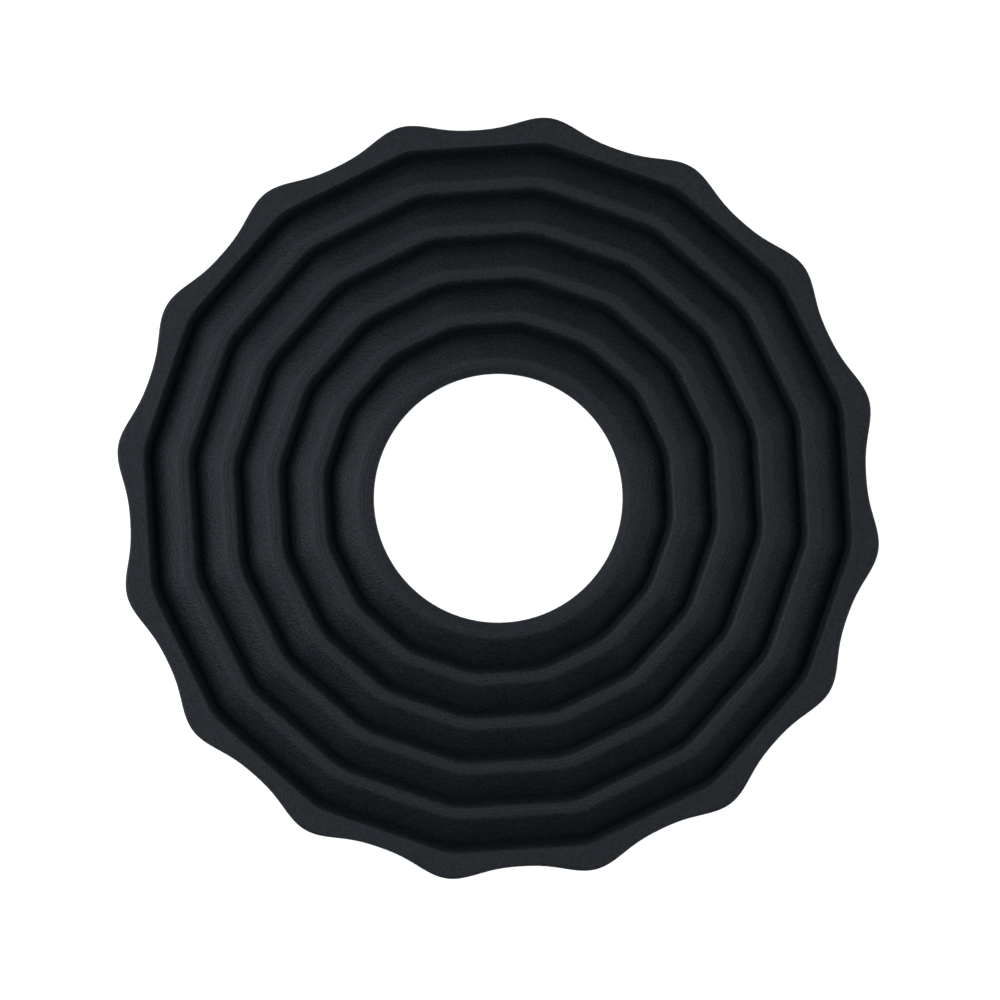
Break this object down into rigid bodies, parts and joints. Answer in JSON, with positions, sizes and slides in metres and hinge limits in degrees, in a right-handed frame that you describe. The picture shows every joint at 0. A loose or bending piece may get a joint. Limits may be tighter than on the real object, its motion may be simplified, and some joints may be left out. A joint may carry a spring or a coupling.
{
  "type": "collapsible bellows hood",
  "caption": "Round pleated silicone hood, pressed flat: a collar around an open bore, nested sixteen-sided pleats that pop up one by one, and a flat flange with a wavy edge.",
  "frame": {"origin": "on the bore's axis, in the plane of the feet that it stands on when pressed flat", "axes": "+Z along the bore's axis, from the feet towards the flange; +X towards a lobe of the wavy rim"},
  "size_m": [0.2004, 0.2004, 0.0078],
  "materials": {
    "silicone": "matt, slightly satin black silicone"
  },
  "bodies": {
    "collar": {"collar_sleeve": "silicone", "collar_lip": "silicone", "foot_fold_5": "silicone", "web_5": "silicone", "crest_fold_5": "silicone"},
    "ring_4": {"ring_wall_4": "silicone", "foot_fold_4": "silicone", "web_4": "silicone", "crest_fold_4": "silicone"},
    "ring_3": {"ring_wall_3": "silicone", "foot_fold_3": "silicone", "web_3": "silicone", "crest_fold_3": "silicone"},
    "ring_2": {"ring_wall_2": "silicone", "foot_fold_2": "silicone", "web_2": "silicone", "crest_fold_2": "silicone"},
    "ring_1": {"ring_wall_1": "silicone", "foot_fold_1": "silicone", "web_1": "silicone", "crest_fold_1": "silicone"},
    "rim": {"rim_flange": "silicone", "rim_wall": "silicone"}
  },
  "joints": [
    {"name": "pleat_5", "type": "slide", "parent": "collar", "child": "ring_4", "axis": [0, 0, 1], "range_m": [0, 0.011], "deforming": ["foot_fold_5", "web_5", "crest_fold_5"]},
    {"name": "pleat_4", "type": "slide", "parent": "ring_4", "child": "ring_3", "axis": [0, 0, 1], "range_m": [0, 0.011], "deforming": ["foot_fold_4", "web_4", "crest_fold_4"]},
    {"name": "pleat_3", "type": "slide", "parent": "ring_3", "child": "ring_2", "axis": [0, 0, 1], "range_m": [0, 0.011], "deforming": ["foot_fold_3", "web_3", "crest_fold_3"]},
    {"name": "pleat_2", "type": "slide", "parent": "ring_2", "child": "ring_1", "axis": [0, 0, 1], "range_m": [0, 0.011], "deforming": ["foot_fold_2", "web_2", "crest_fold_2"]},
    {"name": "pleat_1", "type": "slide", "parent": "ring_1", "child": "rim", "axis": [0, 0, 1], "range_m": [0, 0.011], "deforming": ["foot_fold_1", "web_1", "crest_fold_1"]}
  ]
}
